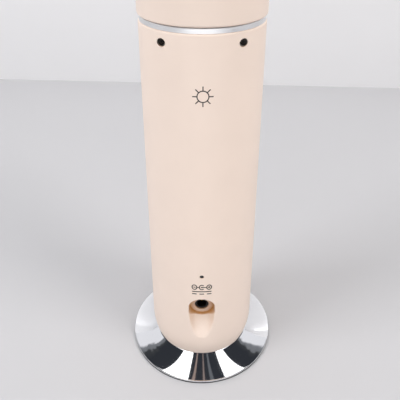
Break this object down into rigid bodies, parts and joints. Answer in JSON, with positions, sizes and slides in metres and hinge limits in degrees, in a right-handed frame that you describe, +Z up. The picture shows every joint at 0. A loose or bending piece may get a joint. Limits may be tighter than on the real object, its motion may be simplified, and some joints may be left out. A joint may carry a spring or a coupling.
{
  "type": "rechargeable table lamp",
  "caption": "Free-standing column lamp with a weighted chrome foot, a power inlet in a scooped recess and an upper sleeve that lifts to uncover the light.",
  "frame": {"origin": "centre of the underside of the foot, on the surface the lamp stands on", "axes": "+Z up along the column; the power inlet, indicator and brightness symbol face -Y; +X to the right when facing them"},
  "size_m": [0.0862, 0.0862, 0.2705],
  "materials": {
    "ivory_plastic": "satin soft-touch finish",
    "chrome": "polished",
    "cast_iron": "as cast",
    "black_plastic": "moulded",
    "rubber": "matt",
    "steel": "bright drawn",
    "dark_steel": "black zinc",
    "brass": "plated",
    "nickel": "nickel strip",
    "copper": "copper foil",
    "circuit_board": "solder mask",
    "clear_plastic": "clear",
    "battery_wrap": "shrink wrap over the cell's can",
    "wire_insulation": "insulated wire",
    "white_plastic": "moulded",
    "bearing_plastic": "acetal",
    "aluminium": "extruded",
    "phosphor": "LED phosphor",
    "opal": "opal acrylic"
  },
  "bodies": {
    "lamp_base": {"foot_shell": "chrome", "ballast_ring": "cast_iron", "base_plate": "black_plastic", "foot_pad": "rubber", "base_screws": "steel", "column_shell": "ivory_plastic", "dc_jack": "black_plastic", "jack_pin": "brass", "control_board": "circuit_board", "board_parts": "black_plastic", "status_led": "white_plastic", "light_pipe": "clear_plastic", "battery_cells": "battery_wrap", "battery_tabs": "nickel", "chassis": "white_plastic", "touch_pad": "copper", "touch_lead": "wire_insulation", "power_leads": "wire_insulation", "top_collar": "white_plastic", "column_screws": "dark_steel", "trim_ring": "chrome", "guide_tube": "white_plastic", "lower_bush": "bearing_plastic", "upper_bush": "bearing_plastic", "friction_ring": "rubber", "led_core": "aluminium", "led_strips": "white_plastic", "led_chips": "phosphor", "diffuser": "opal", "diffuser_cap": "white_plastic"},
    "sleeve": {"sleeve_shell": "ivory_plastic", "top_cap": "ivory_plastic", "lift_rod": "steel", "rod_stop": "black_plastic"}
  },
  "joints": [
    {"name": "sleeve_lift", "type": "slide", "parent": "lamp_base", "child": "sleeve", "axis": [0, 0, 1], "range_m": [0, 0.054]}
  ]
}
